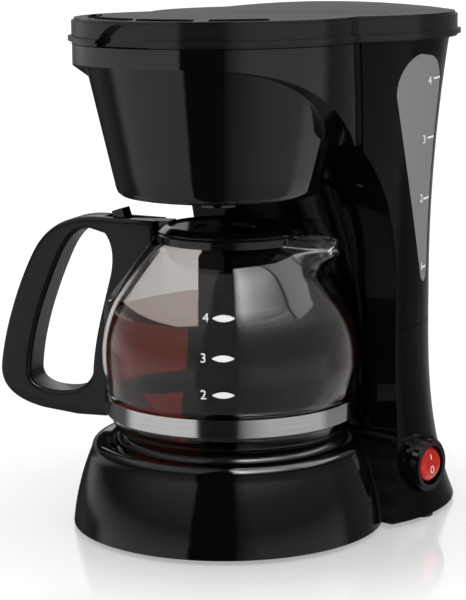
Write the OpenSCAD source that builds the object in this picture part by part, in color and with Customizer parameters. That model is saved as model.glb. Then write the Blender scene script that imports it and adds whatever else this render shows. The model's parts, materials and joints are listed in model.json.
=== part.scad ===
// Four-cup drip coffee maker with a glass jug.
// The front stands on -Y, the counter is z = 0, and the jug is docked on the warming plate.

/* [Body] */
// Bottom radius of the round front base
base_r = 73.4; // [73:0.2:74]
// Narrowest radius of the water tower
tower_r = 61.4; // [61.2:0.1:61.6]
// Wall thickness of the moulded shells
wall = 2.6; // [2.4:0.1:2.8]
// Height of the tank rim above the counter
rim_h = 226; // [225.5:0.5:226.5]
// Height of the joint between lower shell and tank
seam_h = 91; // [90:0.5:92]

/* [Lid] */
// Outline radius of the lid over the filter
lid_front_r = 68; // [67.5:0.25:68.5]
// Outline radius of the lid over the tank
lid_rear_r = 75.5; // [75:0.25:76]
// Length of each steam slot, in degrees
slot_len = 24; // [20:1:26]

/* [Jug] */
// Widest outer radius of the glass
jug_r = 61; // [60.6:0.1:61.1]
// Glass thickness
glass_t = 1.8; // [1.6:0.1:2]
// Width of the handle grip
grip_w = 18; // [16:1:19]

/* [Switch] */
// Outer diameter of the switch bezel
bezel_d = 25; // [24.5:0.25:25.5]
// Diameter of the rocker button
rocker_d = 18; // [17.5:0.25:18]

/* [Show] */
// Sub-part to show, or all of them

/* [Hidden] */
neck_r = 10.4;              // neck of the switch, behind its bezel
place = [18.6, -27.9, 0];   // puts the origin under the middle of the whole footprint
base_y = -3;                // centre of the front base
tower_y = 55;               // centre of the water tower
cone_y = -8;                // centre of the filter housing
base_h = 41.5;              // rim around the warming plate
plate_z = 44;               // top of the warming plate
cone_z = 157;               // underside of the filter housing
cone_k = 0.227;             // flare of the filter housing per millimetre of height
band_r = 66.2;              // rim band of the filter housing
wing_r = 103;               // arc under the rim band and the wings, seen from the side
wing_y = -68;               // middle of that arc
wing_top = 217.5;           // its highest point, the lower edge of the rim band
crown_y = 72;               // middle of the lid's crown
crown_r = 68;               // its radius
crown_rise = 4.8;           // and its height
handle_a = 199.5;           // direction of the jug handle, measured from +X
hinge_y = 128;              // lid hinge line
pin_u = 48;                 // jug lid pin, distance from the jug axis
pin_z = 138.4;              // jug lid pin height
sw = [65.6, 59.5, 25.2];    // pivot of the switch rocker, behind the tower wall
black = "#151515";
steel = "#c9ccd0";

module placed() { translate(place) children(); }

function arc(cx, cz, r, a0, a1, n) =
  [for (i = [0:n]) let (a = a0 + (a1 - a0) * i / n) [cx + r * cos(a), cz + r * sin(a)]];

// Smooth curve from a to d, leaning towards b and then c
function bez(a, b, c, d, n) = [for (i = [0:n]) let (t = i / n, u = 1 - t)
  u * u * u * a + 3 * u * u * t * b + 3 * u * t * t * c + t * t * t * d];

// Flared wall of the tower, narrowest near the middle
function tower_rad(z) = tower_r + 13.8 * pow(max(0, (100 - z) / 100), 3)
  + 8.4 * pow(max(0, (z - 110) / 114), 2);

// Bowed skirt of the front base
function base_rad(z) = base_r - 0.075 * z - 0.0047 * z * z;

// Front edge of the tower's side walls, seen from the side
function front_y(z) = z < 55 ? 46.6 - 101 + sqrt(101 * 101 - (55 - z) * (55 - z))
  : z < 115 ? 46.6 + 0.7 * (z - 55) / 60
  : 47.3 - 98.9 + sqrt(98.9 * 98.9 - (z - 115) * (z - 115));

module rev(pts) { rotate_extrude($fn = 96) polygon(pts); }

module tower(z0, z1, n, off) {
  translate([0, tower_y, 0])
    rev(concat([[0, z0]],
      [for (i = [0:n]) let (z = z0 + (z1 - z0) * i / n) [tower_rad(z) - off, z]],
      [[0, z1]]));
}

module skirt(z0, off) {
  r1 = base_rad(36.9);
  translate([0, base_y, 0])
    rev(concat([[0, z0]],
      [for (i = [0:7]) let (z = z0 + (36.9 - z0) * i / 7) [base_rad(z) - off, z]],
      off == 0 ? arc(r1 - 4.6, 36.9, 4.6, 15, 90, 5) : [[r1 - off - 1, 38.9]],
      [[0, off == 0 ? base_h : 38.9]]));
}

// Everything in front of the tower's side walls
module front_cut(off, top) {
  rotate([90, 0, 90]) linear_extrude(height = 200, center = true)
    polygon(concat([[-160, -1]],
      [for (i = [0:18]) let (z = -1 + (top + 1) * i / 18) [front_y(z) + off, z]],
      [[-160, top]]));
}

// Hollow behind the jug, round about the jug axis
module scoop(off, z0 = 30) {
  rev([[0, z0], [62.5 + off, z0], [62.5 + off, 95], [61.3 + off, 108], [59.5 + off, 120],
    [57 + off, 133], [53.5 + off, 145], [49 + off, cone_z], [44 + off, 167 + off / 2],
    [36 + off, 174 + off / 2], [0, 178 + off]]);
}

// Level channel for the spray arm, open at the top
module arm_channel() {
  translate([-12, 76, 219.5]) rotate([0, 0, atan2(cone_y - 76, 12)])
    translate([0, -5, 0]) cube([90, 10, 9]);
}

module housing_zone(off) {
  translate([0, cone_y, cone_z - off]) cylinder(r = band_r + off, h = 120, $fn = 96);
}

module ring(r1, r2, h) {
  difference() {
    cylinder(r = r1, h = h, $fn = 64);
    translate([0, 0, -1]) cylinder(r = r2, h = h + 2, $fn = 64);
  }
}

// Cylinder along Y from y0 to y1
module along_y(r, y0, y1) {
  translate([0, y0, 0]) rotate([-90, 0, 0]) cylinder(r = r, h = y1 - y0, $fn = 48);
}

module along_x(r, x0, x1) {
  translate([x0, 0, 0]) rotate([0, 90, 0]) cylinder(r = r, h = x1 - x0, $fn = 48);
}

screw_at = [[40, -38], [-40, -38], [44, 98], [-44, 98]];
foot_at = [[22, -46], [-22, -46], [67, 60], [-67, 60]];

module base_shell() {
  color(black) placed() difference() {
    union() {
      difference() {
        union() {
          skirt(2, 0);
          difference() {
            tower(2, seam_h, 12, 0);
            front_cut(0, 180.5);
          }
        }
        skirt(1, wall);
        difference() {
          tower(1, seam_h - 2, 12, wall);
          front_cut(wall, 180.5);
          scoop(3 + wall, base_h);
        }
        // plate opening
        translate([0, 0, 34]) cylinder(r = 57.6, h = 30, $fn = 96);
      }
      // shelf that carries the gasket and the plate
      translate([0, 0, 33.4]) ring(59.5, 50, 2.4);
      // screw bosses
      for (p = screw_at)
        translate([p[0], p[1], 4.7]) cylinder(r = 4.2, h = p[1] > 0 ? 22 : 30, $fn = 32);
      for (s = [-1, 1]) translate([s * 50 - 6, 92, 8]) cube([12, 9, 8]);
      // round boss behind the switch
      translate([0, sw[1], sw[2]]) along_x(bezel_d / 2 + 2, 59, 68.4);
    }
    scoop(3, base_h);
    for (p = screw_at) translate([p[0], p[1], 1]) cylinder(r = 1.5, h = 18, $fn = 24);
    // switch opening
    translate([0, sw[1], sw[2]]) along_x(neck_r + 0.2, 50, 80);
    translate([0, sw[1], sw[2]]) along_x(bezel_d / 2 + 0.4, 68.4, 80);
    // cord opening
    translate([0, 0, 20]) along_y(6.6, 100, 140);
    // room for the hoses through the tank floor
    for (x = [-12, 12]) translate([x, 76, 80]) cylinder(r = 6, h = 20, $fn = 40);
    // groove along the seam with the tank
    difference() {
      translate([0, tower_y, seam_h - 0.6]) cylinder(r = 80, h = 1.2, $fn = 96);
      translate([0, tower_y, seam_h - 0.7])
        cylinder(r = tower_rad(seam_h) - 0.6, h = 1.4, $fn = 96);
    }
    // outside of the tower, cut clean
    difference() {
      translate([-60, 85, 3]) cube([120, 60, 30]);
      tower(2, 40, 8, 0);
    }
  }
}

module bottom_cover() {
  color("#1b1b1b") placed() difference() {
    union() {
      translate([0, base_y, 2]) cylinder(r = base_rad(2) - wall - 0.5, h = 2.4, $fn = 96);
      intersection() {
        translate([0, tower_y, 2]) cylinder(r = tower_rad(4.4) - wall - 0.5, h = 2.4, $fn = 96);
        translate([-100, 36, 0]) cube([200, 120, 10]);
      }
    }
    for (p = screw_at) translate([p[0], p[1], 1]) {
      cylinder(r = 1.8, h = 5, $fn = 24);
      cylinder(r = 3.4, h = 2.4, $fn = 24);
    }
    for (p = foot_at) translate([p[0], p[1], 1]) cylinder(r = 2.2, h = 5, $fn = 24);
    // cooling slots
    for (i = [-3:3]) translate([i * 7 - 1.25, 50, 1]) cube([2.5, 26, 5]);
  }
}

module feet() {
  color("#202020") placed() for (p = foot_at) translate([p[0], p[1], 0]) {
    cylinder(r = 6, h = 2, $fn = 32);
    cylinder(r = 2, h = 4, $fn = 24);
  }
}

module base_screws() {
  color(steel) placed() for (p = screw_at) translate([p[0], p[1], 0]) difference() {
    union() {
      translate([0, 0, 2.3]) cylinder(r = 3, h = 1, $fn = 24);
      translate([0, 0, 2.3]) cylinder(r = 1.4, h = 15, $fn = 24);
    }
    translate([-2.2, -0.4, 1.8]) cube([4.4, 0.8, 1]);
    translate([-0.4, -2.2, 1.8]) cube([0.8, 4.4, 1]);
  }
}

module warming_plate() {
  color("#101010") placed() rev(concat(
    [[0, plate_z - 1.6], [48, plate_z - 1.6]],
    arc(50.5, 39.4, 3, 90, 0, 4), [[53.5, 37.6], [55, 37.6]],
    arc(50.5, 39.4, 4.6, 0, 90, 6), [[0, plate_z]]));
}

module plate_gasket() {
  color("#2a2a2a") placed() translate([0, 0, 35.8]) difference() {
    ring(57.3, 50.6, 3.6);
    translate([0, 0, 1.8]) ring(55.2, 53.2, 4);
  }
}

module heater_element() {
  color("#8c8f93") placed() {
    translate([0, 0, 37.2]) rotate([0, 0, 130])
      rotate_extrude(angle = 280, $fn = 96) translate([34, 0]) circle(r = 4.6, $fn = 40);
    // ends turned down
    for (a = [130.4, 49.6]) rotate([0, 0, a]) translate([34, 0, 25.6])
      cylinder(r = 2.2, h = 11.6, $fn = 24);
  }
}

module heater_water_tube() {
  color("#b9bcc0") placed() difference() {
    union() {
      translate([0, 0, 37.2]) rotate([0, 0, 120])
        rotate_extrude(angle = 300, $fn = 96) translate([24, 0]) circle(r = 4.1, $fn = 40);
      // ends turned down into the hoses
      for (s = [-1, 1]) translate([s * 12, 20.8, 24]) cylinder(r = 4.2, h = 13.2, $fn = 40);
    }
    for (s = [-1, 1]) translate([s * 12, 20.8, 23]) cylinder(r = 3, h = 11, $fn = 40);
  }
}

module plate_clamp() {
  color(steel) placed() difference() {
    union() {
      translate([-44, -6, 30.4]) cube([88, 12, 1.6]);
      translate([-8, -8, 29.4]) cube([16, 16, 1]);
    }
    cylinder(r = 2.2, h = 80, $fn = 24);
  }
}

module thermostat() {
  color("#d8d2c4") placed() translate([0, -9, 0]) {
    translate([0, 0, 32.4]) cylinder(r = 7.6, h = 5.6, $fn = 32);
    translate([0, 0, 38]) cylinder(r = 6, h = 4.2, $fn = 32);
    for (s = [-1, 1]) translate([s * 4 - 1.5, -0.4, 26]) cube([3, 0.8, 6.4]);
  }
}

module thermal_fuse() {
  color("#efe9dc") placed() translate([0, 12.4, 34]) {
    along_x(2.6, -7, 7);
    along_x(0.6, -11, 11);
  }
}

// Quarter bend of a hose in the plane of the Y and Z axes, starting at angle a0
module bend(r, a0) {
  rotate([90, 0, 90]) rotate([0, 0, a0])
    rotate_extrude(angle = 90, $fn = 64) translate([r, 0]) difference() {
      circle(r = 6, $fn = 40);
      circle(r = 4.3, $fn = 40);
    }
}

// Silicone hose: down from the heater, back along the floor, then up to z_top
module hose(x, z_top) {
  translate([x, 0, 0]) {
    translate([0, 20.8, 22]) ring(6, 4.3, 8);
    translate([0, 30.8, 22]) bend(10, 180);
    translate([0, 30.8, 12]) rotate([-90, 0, 0]) ring(6, 4.3, 31.2);
    translate([0, 62, 26]) bend(14, -90);
    translate([0, 76, 26]) ring(6, 4.3, z_top - 26);
  }
}

module inlet_hose() {
  color("#d9d6cf") placed() hose(12, 66);
}

module riser_hose() {
  color("#d9d6cf") placed() hose(-12, 86);
}

module check_valve() {
  color("#e8e8e8") placed() translate([12, 76, 0]) difference() {
    union() {
      translate([0, 0, 58]) cylinder(r = 4.2, h = 8, $fn = 40);
      translate([0, 0, 66]) cylinder(r = 7.6, h = 10, $fn = 40);
      translate([0, 0, 76]) cylinder(r = 4.2, h = 9, $fn = 40);
    }
    translate([0, 0, 57]) cylinder(r = 2.6, h = 30, $fn = 40);
    translate([0, 0, 68]) cylinder(r = 5.6, h = 6, $fn = 40);
  }
}

module hose_clamps() {
  color(steel) placed() {
    for (s = [-1, 1]) translate([s * 12, 20.8, 25]) ring(7, 6.05, 4);
    translate([12, 76, 60]) ring(7, 6.05, 4);
    translate([-12, 76, 80]) ring(7, 6.05, 4);
  }
}

module tank_outlet_seal() {
  color("#c9c5bb") placed() for (x = [-12, 12]) translate([x, 76, 0]) difference() {
    union() {
      translate([0, 0, 87.2]) cylinder(r = 8, h = 1.6, $fn = 40);
      translate([0, 0, 88.8]) cylinder(r = 5.9, h = 5.4, $fn = 40);
      translate([0, 0, 94.2]) cylinder(r = 8, h = 1.6, $fn = 40);
    }
    translate([0, 0, 80]) cylinder(r = 4.4, h = 30, $fn = 40);
  }
}

module switch_bezel() {
  color("#1a1a1a") placed() translate([0, sw[1], sw[2]]) difference() {
    union() {
      along_x(bezel_d / 2, 68.5, 72.8);
      along_x(bezel_d / 2 - 1, 72.8, 73.8);
      along_x(neck_r, 60, 68.5);
    }
    along_x(rocker_d / 2 + 0.4, 59, 80);
    // blind holes for the rocker pin
    translate([sw[0], 0, 0]) along_y(1.52, -rocker_d / 2 - 1, rocker_d / 2 + 1);
  }
}

module switch_body() {
  color("#222222") placed() translate([0, sw[1], sw[2]]) difference() {
    along_x(neck_r - 0.2, 46, 59.8);
    translate([52, -6.5, -6.5]) cube([10, 13, 13]);
  }
}

module switch_rocker() {
  color("#c81e1a") placed() translate(sw) rotate([0, -8, 0]) difference() {
    intersection() {
      along_x(rocker_d / 2 - 0.6, -3, 12);
      union() {
        rotate([0, 8, 0]) along_y(rocker_d / 2 - 0.2, -rocker_d, rocker_d);
        translate([-3, -5, -5]) cube([6, 10, 10]);
      }
    }
    // shallow dish of the thumb faces
    translate([29.9, 0, 0]) along_y(21.6, -12, 12);
    along_y(1.55, -12, 12);
  }
}

module rocker_pin() {
  color(steel) placed() translate([sw[0], 0, sw[2]]) along_y(1.5,
    sw[1] - rocker_d / 2 - 0.9, sw[1] + rocker_d / 2 + 0.9);
}

module switch_terminals() {
  color("#c9a24a") placed() for (z = [-5, 5])
    translate([38, sw[1] - 3, sw[2] + z - 0.4]) cube([8, 6, 0.8]);
}

module cord_gland() {
  color("#1f1f1f") placed() translate([0, 0, 20]) difference() {
    union() {
      along_y(6.4, 118, 129);
      along_y(8.6, 126.5, 129.9);
      along_y(8.2, 116.4, 118);
    }
    along_y(3.6, 110, 135);
  }
}

// Window outline in the side view, shrunk by g: slanted front edge, upright rear edge
module window_shape(g) {
  polygon(concat(
    arc(61 - g * 0.2, 198, 21 - g, 8, 90, 8),
    arc(57, 203.5, 16.4 - g, 98, 190, 8),
    [[68.3 + g * 0.9, 116]],
    arc(74.2, 116, 5.8 - g, 190, 350, 6),
    [[80 - g, 122]]));
}

module window_prism(g, x0, x1) {
  translate([x0, 0, 0]) rotate([90, 0, 90]) linear_extrude(height = x1 - x0) window_shape(g);
}

module tank_shell() {
  color(black) placed() {
    difference() {
      union() {
        difference() {
          tower(seam_h + 0.2, rim_h, 16, 0);
          front_cut(0, 180.5);
          housing_zone(0.3);
          difference() {
            tower(seam_h + 3, rim_h + 1, 16, wall);
            front_cut(wall, 183);
            scoop(3 + wall, 80);
            housing_zone(0.3 + wall);
          }
        }
        // hinge ears
        for (s = [-1, 1]) translate([s * 17.5 - 2.5, 0, 0]) difference() {
          union() {
            translate([0, 121.6, 214]) cube([5, 6.4, 12]);
            translate([0, hinge_y, rim_h]) along_x(4, 0, 5);
            translate([0, 123, 221]) cube([5, 9, 5]);
          }
          translate([0, hinge_y - 3.6, 213.4]) rotate([-36, 0, 0]) cube([20, 20, 9], center = true);
          translate([0, hinge_y, rim_h]) along_x(1.55, -1, 6);
        }
      }
      scoop(3, 80);
      window_prism(0, 40, 90);
      for (x = [-12, 12]) translate([x, 76, 80]) cylinder(r = 6, h = 40, $fn = 40);
      arm_channel();
      // room for the lid's knuckle
      translate([0, hinge_y, rim_h]) along_x(4.5, -14.9, 14.9);
    }
  }
}

module water_window() {
  color([0.55, 0.57, 0.58, 0.6]) placed() intersection() {
    window_prism(0.15, 40, 90);
    difference() {
      tower(100, rim_h - 2, 16, 0.3);
      tower(99, rim_h - 1, 16, 2.4);
    }
  }
}

module level_marks() {
  color("white") placed() intersection() {
    for (z = [[207, 9], [179, 9], [150, 8], [117, 6]])
      translate([50, 70, z[0]]) cube([40, z[1], 0.9]);
    difference() {
      tower(100, rim_h - 2, 16, 0.1);
      tower(99, rim_h - 1, 16, 0.3);
    }
  }
}

module column_panel() {
  color("#111111") placed() difference() {
    intersection() {
      difference() {
        scoop(2.8, 46);
        scoop(0.3, 40);
      }
      translate([-41, 24, 46]) cube([82, 60, 110.6]);
    }
    front_cut(-3, 180.5);
  }
}

module basket_housing() {
  color(black) placed() difference() {
    union() {
      // cone
      translate([0, cone_y, 0]) rev([[0, cone_z - 0.5], [42.5, cone_z - 0.5], [45, cone_z],
        [46.6, 158.3], [47.4, 160.2], [47.5 + cone_k * (rim_h - 160), rim_h], [0, rim_h]]);
      // rim band and the wings that run back to the tower
      difference() {
        translate([0, cone_y, cone_z + 0.3])
          cylinder(r = band_r, h = rim_h - cone_z - 0.3, $fn = 96);
        translate([-100, wing_y, wing_top - wing_r]) along_x(wing_r, 0, 200);
        translate([-100, wing_y - 100, 100]) cube([200, 100, wing_top - 100]);
        front_cut(0, 180.5);
        scoop(3);
      }
      // drip spout
      translate([0, cone_y, 151]) cylinder(r = 10, h = 8, $fn = 48);
    }
    // cavity for the filter basket
    translate([0, cone_y, 0]) rev([[0, 160.6], [42, 160.6], [44.6, 162.4],
      [45 + cone_k * (rim_h + 1 - 160), rim_h + 1], [0, rim_h + 1]]);
    arm_channel();
    // spout bore with a shoulder
    translate([0, cone_y, 140]) cylinder(r = 5.2, h = 30, $fn = 48);
    translate([0, cone_y, 140]) cylinder(r = 8, h = 14, $fn = 48);
  }
}

module filter_basket() {
  color("#2b2b2b") placed() translate([0, cone_y, 0]) difference() {
    union() {
      rev([[0, 165], [40.6, 165], [42.2, 166.6], [44.2 + cone_k * 52, 219.2], [0, 219.2]]);
      translate([0, 0, 163.4]) ring(8.6, 6.4, 2);
    }
    rev([[0, 167], [39.4, 167], [40.4, 168.6], [42.4 + cone_k * 53, 220], [0, 220]]);
    translate([0, 0, 160]) cylinder(r = 4, h = 10, $fn = 32);
    // finger notches
    for (s = [-1, 1]) translate([0, s * 55, 219.2]) along_x(6, -9, 9);
  }
}

module riser_tube() {
  color("#cfcac0") placed() translate([-12, 76, 0]) difference() {
    union() {
      translate([0, 0, 74]) cylinder(r = 4.25, h = 148, $fn = 40);
    }
    translate([0, 0, 70]) cylinder(r = 3, h = 160, $fn = 40);
  }
}

module spray_arm() {
  color("#1c1c1c") placed() difference() {
    union() {
      translate([-12, 76, 214]) cylinder(r = 6.4, h = 11.4, $fn = 40);
      translate([-12, 76, 220]) rotate([0, 0, atan2(cone_y - 76, 12)])
        translate([0, -4.5, 0]) cube([84.85, 9, 5.4]);
      translate([0, cone_y, 219.6]) cylinder(r = 17, h = 5.8, $fn = 48);
    }
    translate([-12, 76, 210]) cylinder(r = 4.35, h = 12.2, $fn = 40);
    translate([-12, 76, 221]) rotate([0, 0, atan2(cone_y - 76, 12)])
      translate([0, -3, 0]) cube([84.85, 6, 3]);
    translate([0, cone_y, 221]) cylinder(r = 15.4, h = 3, $fn = 48);
    for (i = [0:7]) translate([11 * cos(i * 45), cone_y + 11 * sin(i * 45), 217])
      cylinder(r = 1.2, h = 5, $fn = 16);
    translate([0, cone_y, 217]) cylinder(r = 1.2, h = 5, $fn = 16);
  }
}

module drip_valve() {
  color("#3a3a3a") placed() translate([0, cone_y, 0]) union() {
    translate([0, 0, 150.4]) cylinder(r = 3.6, h = 11.6, $fn = 32);
    translate([0, 0, 150.8]) cylinder(r = 6.2, h = 1.2, $fn = 32);
    translate([0, 0, 162]) cylinder(r = 5, h = 1.2, $fn = 32);
  }
}

module valve_seal() {
  color("#b5553c") placed() translate([0, cone_y, 160.8]) ring(7.4, 3.7, 1);
}

module valve_spring() {
  color(steel) placed() translate([0, cone_y, 0])
    for (i = [0:3]) translate([0, 0, 152.2 + i * 0.48]) ring(6.9, 6.1, 0.3);
}

module lid_outline(off, z0, z1) {
  union() {
    translate([0, cone_y, z0]) cylinder(r = lid_front_r + off, h = z1 - z0, $fn = 96);
    translate([0, tower_y, z0]) cylinder(r = lid_rear_r + off, h = z1 - z0, $fn = 96);
  }
}

module lid() {
  color("#1d1b1a") placed() difference() {
    union() {
      lid_outline(-1.6, rim_h + 0.4, 236.6);
      lid_outline(0, 227.6, 229.6);
      lid_outline(-2.8, 236.6, 237.8);
      // low crown
      intersection() {
        translate([0, crown_y, 0]) rev(concat([[0, 236]], [for (i = [0:8])
          let (t = 1 - i / 8) [crown_r * t, 236.8 + crown_rise * (1 - t * t)]]));
        lid_outline(-5, 236, 243);
      }
      // hinge knuckle
      translate([0, hinge_y, rim_h]) along_x(4, -14.6, 14.6);
      translate([-14.6, hinge_y - 3, rim_h + 0.6]) cube([29.2, 5, 6]);
    }
    // hollow underside
    difference() {
      lid_outline(-4.2, rim_h - 5, 235);
      translate([-14.6, hinge_y - 6, rim_h - 4.5]) cube([29.2, 20, 12]);
      translate([-20, -80, rim_h - 6]) cube([40, 14, 20]);
    }
    // room for the tank's hinge ears
    for (s = [-1, 1]) translate([s * 17.7, hinge_y, rim_h]) along_x(4.6, -2.9, 2.9);
    for (s = [-1, 1]) translate([s * 17.7 - 2.9, hinge_y - 7, rim_h - 1]) cube([5.8, 7, 1.8]);
    translate([0, hinge_y, rim_h]) along_x(1.55, -30, 30);
    // finger notch at the front
    translate([0, -69.5, 228.4]) rotate([90, 0, 0])
      difference() {
        translate([0, -8.4, 0]) cylinder(r = 16.4, h = 60, $fn = 64);
        translate([-30, -30, -1]) cube([60, 27.6, 80]);
      }
    // steam slots
    for (a = [-49, -16, 16, 49]) translate([0, cone_y, 230]) rotate([0, 0, a - 90])
      rotate([0, 0, -slot_len / 2]) rotate_extrude(angle = slot_len, $fn = 96)
        translate([55, 0]) square([3, 12]);
  }
}

module lid_hinge_pin() {
  color(steel) placed() translate([0, hinge_y, rim_h]) along_x(1.5, -20.6, 20.6);
}

function jug_out() = concat(
  [[0, 44.1], [48, 44.1]], arc(50, 50.1, 6, -90, -20, 4),
  [[57.4, 54], [57.6, 62], [59.6, 66]],
  arc(jug_r - 40, 80, 40, -12, 28, 8),
  [[51.6, 111.6], [47, 119.2], [42.4, 126], [37.4, 131.3], [34, 133.2], [32.1, 134.4], [31.8, 137.4]]);

function jug_in(t) = concat(
  [[30, 137.4], [30.3, 133.4], [32.4, 131.8], [35.8, 129.4], [40.8, 124.4], [45.3, 118.2], [49.8, 110.8]],
  arc(jug_r - 40, 80, 40 - t, 28, -12, 8),
  [[57.7, 66], [55.8, 62.2], [55.6, 54]], arc(49.6, 50.4, 4.6, -20, -90, 4), [[0, 45.9]]);

// Side wall of the jug alone, moved outwards
function jug_side(off) = concat([[0, 64], [59 + off, 64]],
  [for (p = arc(jug_r - 40, 80, 40, -12, 28, 8)) [p[0] + off, p[1]]],
  [[51.6 + off, 111.6], [47 + off, 119.2], [0, 119.2]]);

module jug_glass() {
  color([0.86, 0.9, 0.92, 0.3]) placed() {
    rev(concat(jug_out(), jug_in(glass_t)));
    // pouring lip
    rotate([0, 0, handle_a - 180]) difference() {
      hull() {
        translate([26, 0, 129]) cylinder(r = 14, h = 0.6, $fn = 32);
        translate([49, 0, 133]) cylinder(r = 4.4, h = 1.4, $fn = 32);
        translate([28, 0, 137]) cylinder(r = 15, h = 0.8, $fn = 32);
      }
      hull() {
        translate([26, 0, 130.6]) cylinder(r = 12.6, h = 1, $fn = 32);
        translate([48.4, 0, 134.2]) cylinder(r = 3.2, h = 1, $fn = 32);
        translate([28, 0, 138]) cylinder(r = 14, h = 1, $fn = 32);
      }
      translate([0, 0, 100]) cylinder(r = 35.4, h = 80, $fn = 96);
    }
  }
}

module jug_collar() {
  color("#161616") placed() difference() {
    rev([[32.5, 134.2], [34.4, 134.2], [34.4, 137.6], [33.8, 138.2], [30.2, 138.2],
      [30.2, 137.8], [32.5, 137.8]]);
    // gap at the pouring lip
    rotate([0, 0, handle_a - 180]) translate([26, -12, 130]) cube([20, 24, 7.8]);
  }
}

// Local frame of the handle: u away from the jug axis, w up
module handle_plane() {
  rotate([0, 0, handle_a]) rotate([90, 0, 0]) children();
}

module grip_outer() {
  polygon(concat([[35, 142.4]],
    bez([62, 143.2], [78, 144.2], [90, 139], [97.5, 126], 5),
    bez([97.5, 126], [107, 109], [115, 84], [116.4, 68], 7),
    bez([116.4, 68], [116.8, 57], [108, 51.4], [94, 48.8], 6),
    [[76, 46.8], [56, 47], [56, 100], [40, 125], [35, 131]]));
}

module grip_hole() {
  polygon(concat(
    bez([68.3, 137.6], [76.5, 137.3], [81, 130], [86.2, 118], 5),
    bez([86.2, 118], [92, 105], [99.6, 85], [100.8, 67], 6),
    bez([100.8, 67], [101.4, 59.5], [92.5, 57.5], [84, 58], 5),
    bez([84, 58], [76, 58.5], [69.5, 62], [67.9, 67.7], 4),
    bez([67.9, 67.7], [67, 84], [62, 100], [57.9, 115.5], 5),
    bez([57.9, 115.5], [56, 124], [56.8, 131], [60.5, 135.5], 4)));
}

module jug_handle() {
  color(black) placed() handle_plane() {
    difference() {
      translate([0, 0, -grip_w / 2]) linear_extrude(height = grip_w) grip_outer();
      translate([0, 0, -grip_w]) linear_extrude(height = 2 * grip_w) grip_hole();
      // slot for the lid lever
      translate([30, 130, -5.2]) cube([32, 16, 10.4]);
      translate([pin_u, pin_z, -20]) cylinder(r = 1.55, h = 40, $fn = 24);
      // seats on the collar, the glass and the band
      rotate([-90, 0, 0]) translate([0, 0, 125]) cylinder(r = 35.2, h = 30, $fn = 96);
      rotate([-90, 0, 0]) translate([0, 0, 40]) cylinder(r = 61.6, h = 62, $fn = 96);
      rotate([-90, 0, 0]) translate([0, 0, 102]) cylinder(r1 = 61.6, r2 = 36, h = 33, $fn = 96);
      translate([57, 57.5, 0]) rotate([0, 90, 0]) cylinder(r = 2.2, h = 14, $fn = 24);
    }
  }
}

module steel_band() {
  color(steel) placed() difference() {
    union() {
      rev([[58.1, 53.4], [58.9, 53.4], [58.9, 61.6], [58.1, 61.6]]);
      rotate([0, 0, handle_a]) translate([58.2, -7, 53.4]) cube([2.9, 14, 8.2]);
    }
    rotate([0, 0, handle_a]) translate([57, 0, 57.5]) rotate([0, 90, 0])
      cylinder(r = 2.2, h = 10, $fn = 24);
    translate([0, 0, 50]) cylinder(r = 58.1, h = 20, $fn = 96);
  }
}

module band_screw() {
  color(steel) placed() rotate([0, 0, handle_a]) translate([0, 0, 57.5]) {
    translate([58.2, 0, 0]) rotate([0, 90, 0]) cylinder(r = 1.9, h = 12, $fn = 24);
  }
}

module jug_lid() {
  color("#141414") placed() difference() {
    union() {
      rev([[0, 138.5], [33.8, 138.5], [34, 139.2], [30.4, 141.4], [29, 141.6], [27.8, 140.6],
        [0, 140.6]]);
      translate([0, 0, 134.4]) ring(29.4, 27.4, 4.3);
      // lever to the thumb tab
      handle_plane() difference() {
        union() {
          translate([29, 138.6, -4.7]) cube([29, 3.6, 9.4]);
          translate([pin_u, pin_z, -4.7]) cylinder(r = 3.8, h = 9.4, $fn = 32);
          translate([pin_u - 3.8, pin_z, -4.7]) cube([7.6, 3.8, 9.4]);
          translate([50.6, 140, -4.7]) rotate([0, 0, -16]) cube([5.4, 7.6, 9.4]);
        }
        translate([pin_u, pin_z, -20]) cylinder(r = 1.56, h = 40, $fn = 24);
      }
    }
    // drip hole in a shallow dish
    translate([0, cone_y, 135]) cylinder(r = 3, h = 20, $fn = 32);
    translate([0, cone_y / 2, 139.9]) cylinder(r = 14, h = 5, $fn = 48);
  }
}

module jug_lid_pin() {
  color(steel) placed() handle_plane() translate([pin_u, pin_z, -8.6])
    cylinder(r = 1.5, h = 17.2, $fn = 24);
}

module jug_marks() {
  color("white") placed() intersection() {
    for (z = [73.5, 90, 107]) rotate([0, 0, -54]) translate([40, 0, z])
      rotate([90, 0, 90]) linear_extrude(height = 30) intersection() {
        translate([0, -7.9]) circle(r = 9.4, $fn = 64);
        translate([0, 7.9]) circle(r = 9.4, $fn = 64);
      }
    difference() {
      rev(jug_side(0.2));
      rev(jug_side(0.03));
    }
  }
}

base_shell();
bottom_cover();
feet();
base_screws();
warming_plate();
plate_gasket();
heater_element();
heater_water_tube();
plate_clamp();
thermostat();
thermal_fuse();
inlet_hose();
check_valve();
riser_hose();
hose_clamps();
tank_outlet_seal();
switch_bezel();
switch_body();
switch_rocker();
rocker_pin();
switch_terminals();
cord_gland();
tank_shell();
water_window();
level_marks();
column_panel();
basket_housing();
filter_basket();
riser_tube();
spray_arm();
drip_valve();
valve_spring();
valve_seal();
lid();
lid_hinge_pin();
jug_glass();
jug_collar();
jug_handle();
steel_band();
band_screw();
jug_lid();
jug_lid_pin();
jug_marks();
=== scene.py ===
import json
import math

import bmesh
import bpy
from mathutils import Matrix, Vector


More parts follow.
